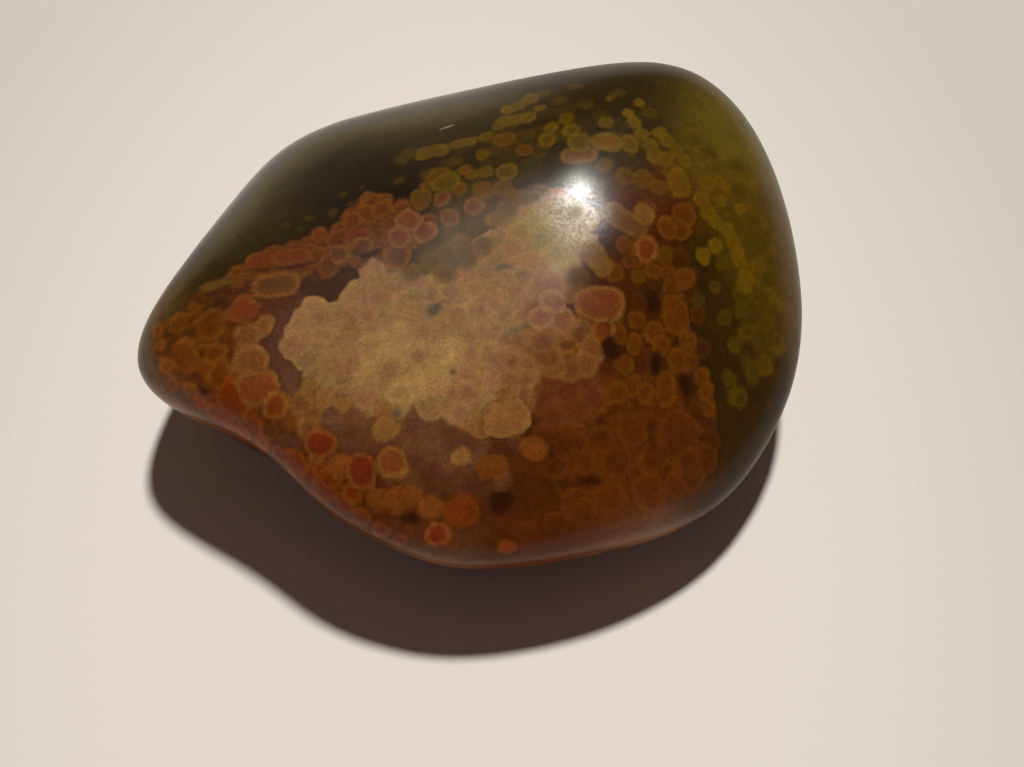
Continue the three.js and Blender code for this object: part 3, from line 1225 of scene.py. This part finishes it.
# %% [markdown]
# The polished stone
#
# From the bottom up: the drifting ground, a darker line where it meets an orb, the orb's body
# with its heart and its pale band, then a fine mineral grain over all. Dim orbs show less and
# have softer edges. The polish is two layers, as on a real tumbled stone: tiny scratches under
# the gloss scatter a faint veil, and the gloss over them gives the bright glint.

# %% The colour inside an orb
# Waves to a millimetre, detail, size and shift of what makes each line of an orb uneven.
EDGE_WOBBLE = (1.9, 4.0, 0.15, 0.0)
RIM_WOBBLE = (3.1, 3.0, 0.14, 11.0)
CORE_WOBBLE = (2.3, 3.0, 0.6, 5.0)
BAND_FADE = (0.04, 0.3)
BAND_STRENGTH = 0.95
HEART_FADE = (0.4, 1.25)

stone_material = bpy.data.materials.new("polished_stone")
sheet = Sheet(stone_material)
place = sheet.place_in_mm()
edge = sheet.wobbled("orb_edge", place, *EDGE_WOBBLE)
rim = sheet.wobbled("orb_rim", place, *RIM_WOBBLE)
core = sheet.wobbled("orb_core", place, *CORE_WOBBLE)
band = (1 - sheet.rise(rim, *BAND_FADE)) * BAND_STRENGTH
heart = 1 - sheet.rise(core, *HEART_FADE)
orb_colour = sheet.mix(heart, sheet.colour("orb_body"), sheet.colour("orb_heart"))
orb_colour = sheet.mix(band, orb_colour, sheet.colour("orb_band"))
print(f"The colour inside an orb takes {len(sheet.tree.nodes)} nodes")

# %% Orbs over the ground
SHADE = (0.6, 0.55, 0.6, 1)
LEAST_SOFTNESS = 0.07
DIM_SOFTNESS = 0.2
LEAST_SHOWN = 0.25
SHADE_REACH = 0.3
SHADE_STRENGTH = 0.4
SEAM_WIDTH = 0.19
LEAST_SEAM = 0.4

clear = sheet.number("orb_clear")
softness = LEAST_SOFTNESS + (1 - clear) * DIM_SOFTNESS
in_orb = sheet.rise(edge, 0 - softness, softness)
shown = in_orb * (clear * (1 - LEAST_SHOWN) + LEAST_SHOWN)
near_orb = 1 - sheet.rise(0 - edge, 0.0, SHADE_REACH)
ground_colour = sheet.mix(near_orb * SHADE_STRENGTH, sheet.colour("ground"), SHADE, "MULTIPLY")
colour = sheet.mix(shown, ground_colour, orb_colour)
seam = 1 - sheet.rise(sheet.number("orb_seam"), 0.0, SEAM_WIDTH)
seam_shown = clear * (1 - LEAST_SEAM) + LEAST_SEAM
colour = sheet.mix(seam * seam_shown, colour, SHADE, "MULTIPLY")
print(f"With the ground it takes {len(sheet.tree.nodes)} nodes")

# %% [markdown]
# Grain and blotches
#
# Close up, the stone's colour is never even: it has cloudy blotches nearly a millimetre wide
# and a mineral grain of less than a tenth. Painting them one by one would take thousands of
# marks. So three random textures make the colour lighter in some places and darker in others,
# and a fourth one tints it a little pinkish or greenish.

# %% Grain and blotches
LIGHTER = (1.34, 1.3, 1.24, 1)
DARKER = (0.72, 0.72, 0.76, 1)
PINKISH = (1.12, 0.96, 1.14, 1)
GREENISH = (0.92, 1.06, 0.84, 1)
# Waves to a millimetre, detail and shift, how far from the mean it acts fully, how strongly,
# and what it does above and below the mean.
MOTTLES = [
    (1.3, 6.0, 3.0, 0.36, 1.0, LIGHTER, DARKER),
    (5.0, 4.0, 8.0, 0.36, 1.0, LIGHTER, DARKER),
    (12.0, 3.0, 14.0, 0.26, 1.0, LIGHTER, DARKER),
    (7.0, 4.0, 21.0, 0.15, 0.8, PINKISH, GREENISH),
]

for pitch, detail, shift, spread, strength, above, below in MOTTLES:
    mottle = sheet.cloud(place, pitch, detail, shift)
    high = sheet.rise(mottle, CLOUD_MEAN, CLOUD_MEAN + spread) * strength
    low = (1 - sheet.rise(mottle, CLOUD_MEAN - spread, CLOUD_MEAN)) * strength
    colour = sheet.mix(high, colour, above, "MULTIPLY")
    colour = sheet.mix(low, colour, below, "MULTIPLY")
print(f"With the grain it takes {len(sheet.tree.nodes)} nodes")

# %% [markdown]
# Pits
#
# A few tiny pits were never worn away, and pale polishing powder is caught in them. They are
# too small to be modelled, so each is only a pale dot. A row of them makes one short scratch
# near the top edge.

# %% Pits with powder in them
POWDER = (0.62, 0.58, 0.5, 1)
POWDER_STRENGTH = 0.4
# Across and down the picture, and the radius in millimetres.
PITS = [
    (440, 129.2, 0.07), (442, 128.5, 0.08), (444.3, 127.6, 0.09), (446.6, 126.8, 0.1),
    (448.8, 126, 0.1), (451, 125.2, 0.09), (453.2, 124.4, 0.07), (353, 165, 0.05),
    (255, 455, 0.05), (293, 485, 0.05), (304, 480, 0.05), (385, 533, 0.06), (700, 515, 0.05),
    (395, 345, 0.06), (693, 320, 0.05), (653, 256, 0.05), (586, 485, 0.04),
]

powder = 0
for across, down, radius in PITS:
    powder = powder + sheet.near(place, seen_at(across, down), radius)
colour = sheet.mix(powder * POWDER_STRENGTH, colour, POWDER)
print(f"{len(PITS)} pits hold polishing powder")

# %% [markdown]
# The gloss
#
# The gloss is a coat over the duller stone. In the photograph it is best on the upper left facet
# and weaker towards the blunt end, so the coat's weight falls with the distance from that facet.
# Round the glint it is worn: there is a chip, grainy scuffing round it, and two rubbed spots.
# These change the weight of the coat too. A rougher coat would make the glint wider instead.

# %% The coat of gloss
LEAST_COAT = 0.36
BEST_POLISHED_AT = (345, 150)
COAT_FULL_TO = 3.5
COAT_FADES_TO = 10.5
# Waves to a millimetre, detail and shift.
SCRATCHES = (7.0, 4.0, 17.0)
CHIP_AT = (577, 211)
CHIP_RADIUS = 0.6
CHIP_UNEVEN = 1.6
CHIP_FADE = (0.3, 1.0)
CHIP_STRENGTH = 0.65
# Across and down the picture, the radius in millimetres, and the share of the coat that is gone.
RUBBED = [(524, 240, 2.6, 0.5), (594, 264, 1.8, 0.6)]
# A rubbed spot is rubbed evenly up to this share of its radius.
RUBBED_EVENLY = 1 / 3
SCUFF_AT = (570, 218)
SCUFF_RADIUS = 3.0
SCUFF_FADE = (0.3, 0.7)
SCUFF_LEVEL = 0.45
SCUFF_STRENGTH = 1.1

well_polished = sheet.near(place, seen_at(*BEST_POLISHED_AT), COAT_FADES_TO, COAT_FULL_TO)
coat = well_polished * (1 - LEAST_COAT) + LEAST_COAT
scratches = sheet.cloud(place, *SCRATCHES)
chip_middle = sheet.near(place, seen_at(*CHIP_AT), CHIP_RADIUS)
chip = chip_middle + (scratches - CLOUD_MEAN) * CHIP_UNEVEN
coat = coat * (1 - sheet.rise(chip, *CHIP_FADE) * CHIP_STRENGTH)
for across, down, radius, share in RUBBED:
    rubbed = sheet.near(place, seen_at(across, down), radius, radius * RUBBED_EVENLY)
    coat = coat * (1 - rubbed * share)
scuffed = sheet.near(place, seen_at(*SCUFF_AT), SCUFF_RADIUS)
scuffing = sheet.rise(scratches, *SCUFF_FADE) - SCUFF_LEVEL
coat = coat * (scuffing * scuffed * SCUFF_STRENGTH + 1)
print(f"With the coat it takes {len(sheet.tree.nodes)} nodes")

# %% Put the material together
STONE_IOR = 1.54
BASE_GLOSS = 0.03
BASE_ROUGHNESS = 0.42
COAT_ROUGHNESS = 0.225
# Waves to a millimetre, detail and shift.
RELIEF = (9.0, 3.0, 2.0)
RELIEF_DEPTH = 0.002

relief = sheet.cloud(place, *RELIEF) * RELIEF_DEPTH
bump = sheet.node("ShaderNodeBump", {}, {"Height": relief, "Distance": MM, "Strength": 1.0})
shader = sheet.node(
    "ShaderNodeBsdfPrincipled",
    {},
    {
        "Base Color": colour,
        "Roughness": BASE_ROUGHNESS,
        "IOR": STONE_IOR,
        "Specular IOR Level": BASE_GLOSS,
        "Coat Weight": coat,
        "Coat Roughness": COAT_ROUGHNESS,
        "Normal": bump,
    },
)
sheet.node("ShaderNodeOutputMaterial", {}, {"Surface": shader})
print(f"The whole material takes {len(sheet.tree.nodes)} nodes")

# %% The stone in the scene
stone = bpy.data.objects.new("polished_stone", skin_mesh)
bpy.context.scene.collection.objects.link(stone)
skin_mesh.materials.append(stone_material)
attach(stone, "root")
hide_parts(STONE)
print(f"{stone.name} stands for {STONE}")

# %% [markdown]
# Table and lamp
#
# The stone lies on plain warm white paper. A painted falloff of light makes the paper a little
# darker to the back and to the right. One small lamp above and a little behind it throws a short
# dark shadow towards the viewer, and its mirror image is the glint on the crown. A low pale
# screen behind it on the left shows as a faint light on the back left rim. The rest of the room
# is nearly dark, and only lifts the shadow a little.

# %% Paper
PAPER_SIZE = 900.0
PAPER_COLOUR = (0.832, 0.803, 0.739, 1)
PAPER_FALLOFF_SHADE = (0.79, 0.8, 0.82, 1)
PAPER_ROUGHNESS = 0.9
PAPER_GLOSS = 0.1
PAPER_BUMP = 0.01
# Waves to a millimetre, and detail.
FIBRES = (1.6, 6.0)
# The paper is brightest round this place and gets darker away from it: a painted falloff of light.
BRIGHTEST_PLACE = (-1.0, -10.0, 0.0)
BRIGHTEST_SHAPE = (1.0, 0.62, 1.0)
FALLOFF_FROM = 12.0
FALLOFF_TO = 34.5

half = PAPER_SIZE / 2 * MM
paper_mesh = bpy.data.meshes.new("paper")
paper_corners = [(-half, -half, 0), (half, -half, 0), (half, half, 0), (-half, half, 0)]
paper_mesh.from_pydata(paper_corners, [], [(0, 1, 2, 3)])
paper = bpy.data.objects.new("paper", paper_mesh)
bpy.context.scene.collection.objects.link(paper)
paper_material = bpy.data.materials.new("paper")
paper_sheet = Sheet(paper_material)
paper_place = paper_sheet.place_in_mm()
offset_sockets = {0: paper_place, 1: BRIGHTEST_PLACE}
offset = paper_sheet.node("ShaderNodeVectorMath", {"operation": "SUBTRACT"}, offset_sockets)
scaled_sockets = {0: offset, 1: BRIGHTEST_SHAPE}
scaled = paper_sheet.node("ShaderNodeVectorMath", {"operation": "MULTIPLY"}, scaled_sockets)
away = paper_sheet.node("ShaderNodeVectorMath", {"operation": "LENGTH"}, {0: scaled}, "Value")
# The painted falloff of light over the paper.
painted_falloff = paper_sheet.rise(away, FALLOFF_FROM, FALLOFF_TO)
fibres = paper_sheet.cloud(paper_place, *FIBRES)
bump_sockets = {"Height": fibres, "Distance": PAPER_BUMP * MM}
paper_sockets = {
    "Base Color": paper_sheet.mix(painted_falloff, PAPER_COLOUR, PAPER_FALLOFF_SHADE, "MULTIPLY"),
    "Roughness": PAPER_ROUGHNESS,
    "Specular IOR Level": PAPER_GLOSS,
    "Normal": paper_sheet.node("ShaderNodeBump", {}, bump_sockets),
}
paper_shader = paper_sheet.node("ShaderNodeBsdfPrincipled", {}, paper_sockets)
paper_sheet.node("ShaderNodeOutputMaterial", {}, {"Surface": paper_shader})
paper_mesh.materials.append(paper_material)
print(f"The paper is {PAPER_SIZE:.0f} mm across")

# %% Lamp and room
LAMP_DISTANCE = 900.0
LAMP_WIDTH = 76.0
LAMP_POWER = 7.4
LAMP_COLOUR = (1.0, 0.97, 0.92)
SCREEN_DISTANCE = 250.0
SCREEN_BEARING = math.radians(122)
SCREEN_SIZE = (230.0, 54.0)
SCREEN_POWER = 0.027
SCREEN_COLOUR = (1.0, 0.86, 0.4)
ROOM_COLOUR = (1.0, 0.66, 0.64, 1)
ROOM_STRENGTH = 0.078

lamp_data = bpy.data.lights.new("lamp", "AREA")
lamp_data.shape = "DISK"
lamp_data.size = LAMP_WIDTH * MM
lamp_data.energy = LAMP_POWER
lamp_data.color = LAMP_COLOUR
lamp = bpy.data.objects.new("lamp", lamp_data)
lamp.location = TOWARDS_LAMP * LAMP_DISTANCE * MM
lamp.rotation_mode = "QUATERNION"
lamp.rotation_quaternion = TOWARDS_LAMP.to_track_quat("Z", "Y")
bpy.context.scene.collection.objects.link(lamp)

screen_data = bpy.data.lights.new("screen", "AREA")
screen_data.shape = "RECTANGLE"
screen_data.size, screen_data.size_y = (side * MM for side in SCREEN_SIZE)
screen_data.energy = SCREEN_POWER
screen_data.color = SCREEN_COLOUR
screen = bpy.data.objects.new("screen", screen_data)
towards_screen = Vector((math.cos(SCREEN_BEARING), math.sin(SCREEN_BEARING), 0))
screen.location = towards_screen * SCREEN_DISTANCE * MM
screen.location.z = SCREEN_SIZE[1] / 2 * MM
screen.rotation_mode = "QUATERNION"
screen.rotation_quaternion = towards_screen.to_track_quat("Z", "Y")
screen.visible_camera = False
bpy.context.scene.collection.objects.link(screen)

world = bpy.data.worlds.new("room")
world.use_nodes = True
background = world.node_tree.nodes["Background"]
background.inputs["Color"].default_value = ROOM_COLOUR
background.inputs["Strength"].default_value = ROOM_STRENGTH
bpy.context.scene.world = world
bpy.context.scene.view_settings.view_transform = "Standard"
print(f"The lamp is {lamp.location.z / MM:.0f} mm above the table")

# %% Finish
print("The scene is ready")
